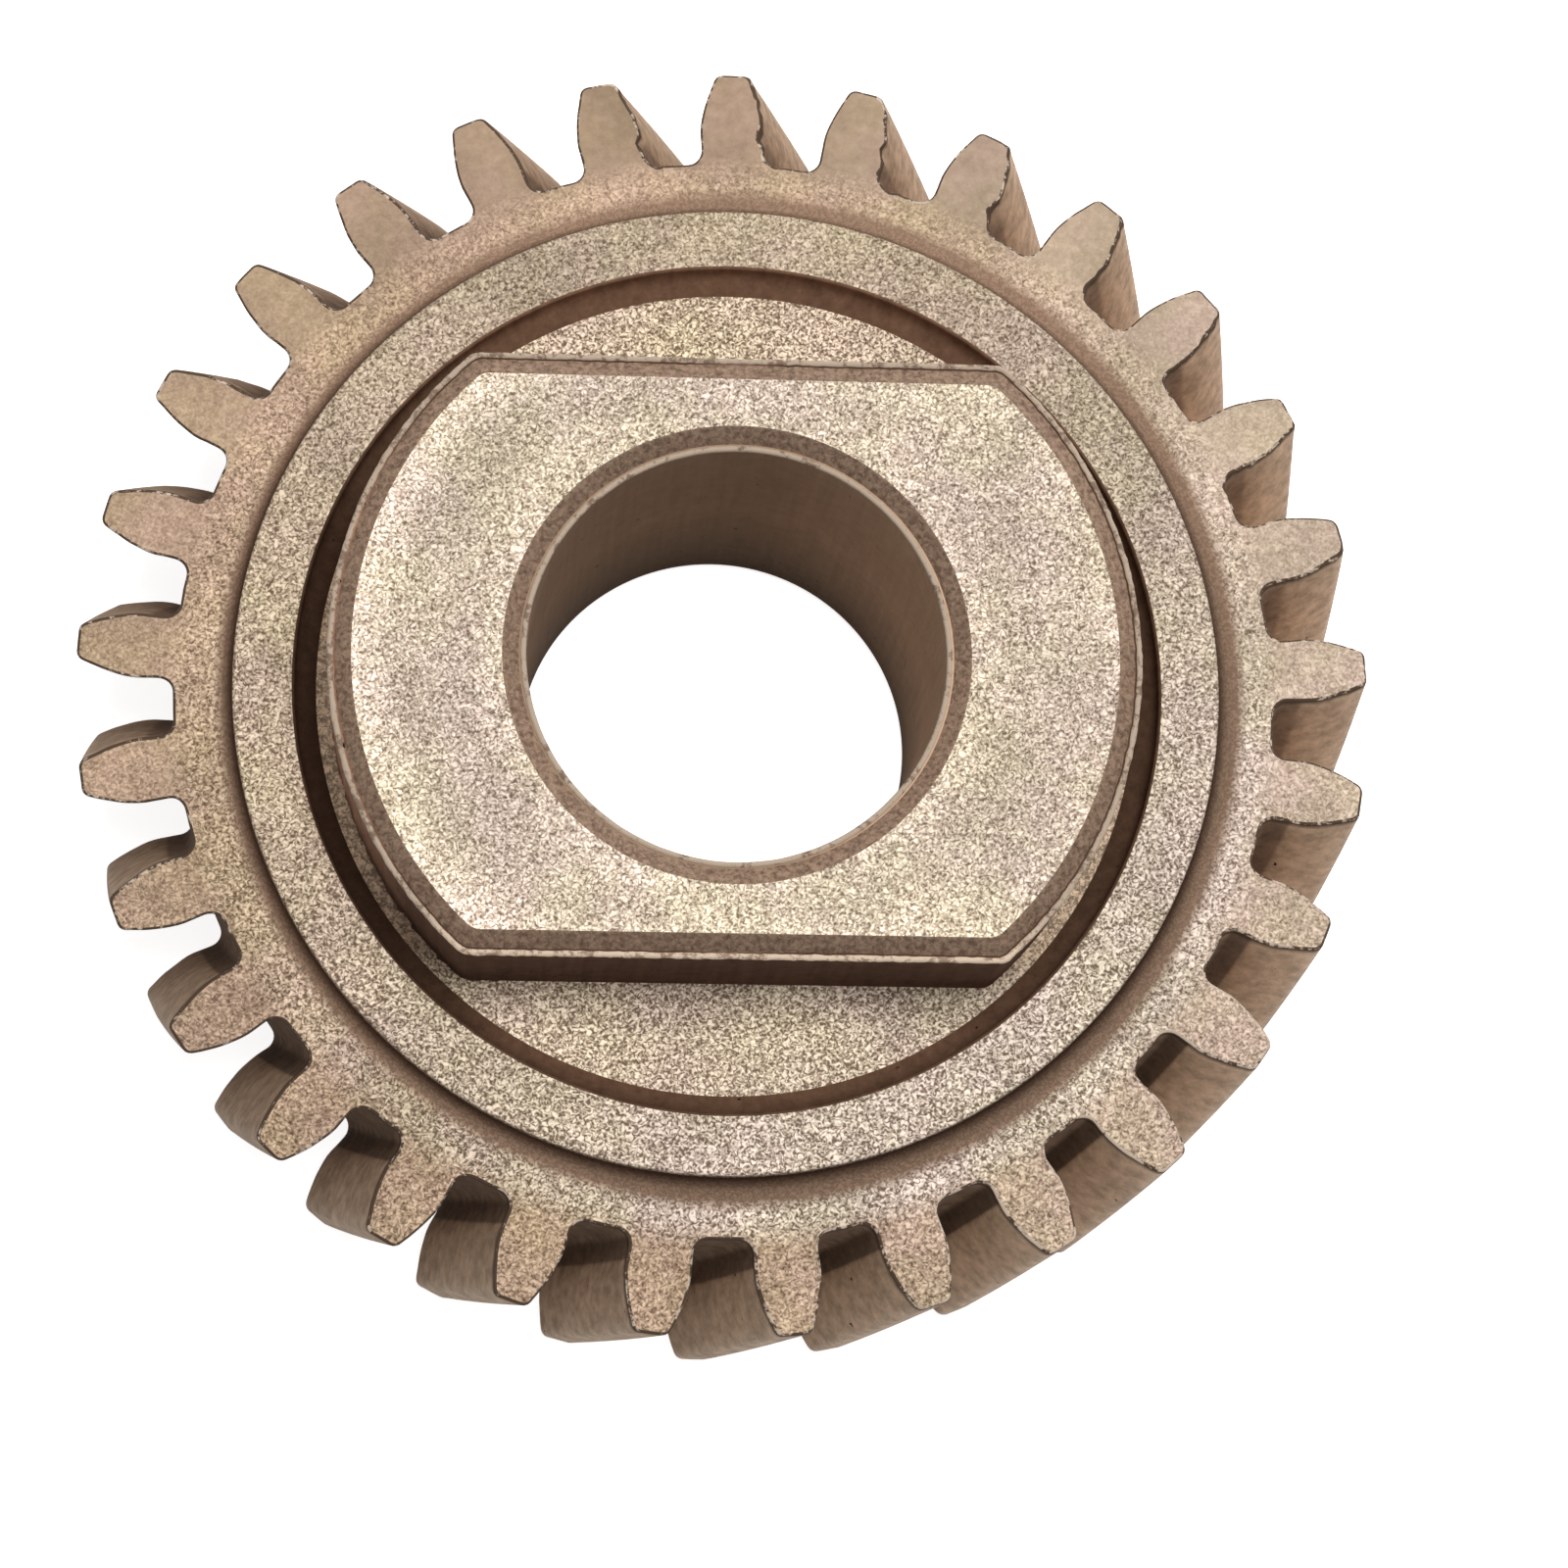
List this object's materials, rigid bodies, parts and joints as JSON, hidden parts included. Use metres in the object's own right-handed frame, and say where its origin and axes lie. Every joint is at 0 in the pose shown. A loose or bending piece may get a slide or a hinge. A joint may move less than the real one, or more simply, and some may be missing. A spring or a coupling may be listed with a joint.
{
  "type": "worm wheel",
  "caption": "Helical-toothed worm wheel with a plain bore, a raised ring on its front face and a stout round hub with parallel flats.",
  "frame": {"origin": "centre of the bore in the back boss's flat face, on which the wheel stands", "axes": "+Z along the bore from the back face towards the hub; +X along the hub's two flats; +Y through the middle of one tooth at the front face of the teeth"},
  "size_m": [0.054, 0.054, 0.0193],
  "materials": {
    "sintered_bronze": "dull grainy bronze-brown metal, pressed and sintered, with smoother darker walls and chamfers"
  },
  "bodies": {
    "root": {"worm_wheel": "sintered_bronze"}
  },
  "joints": []
}
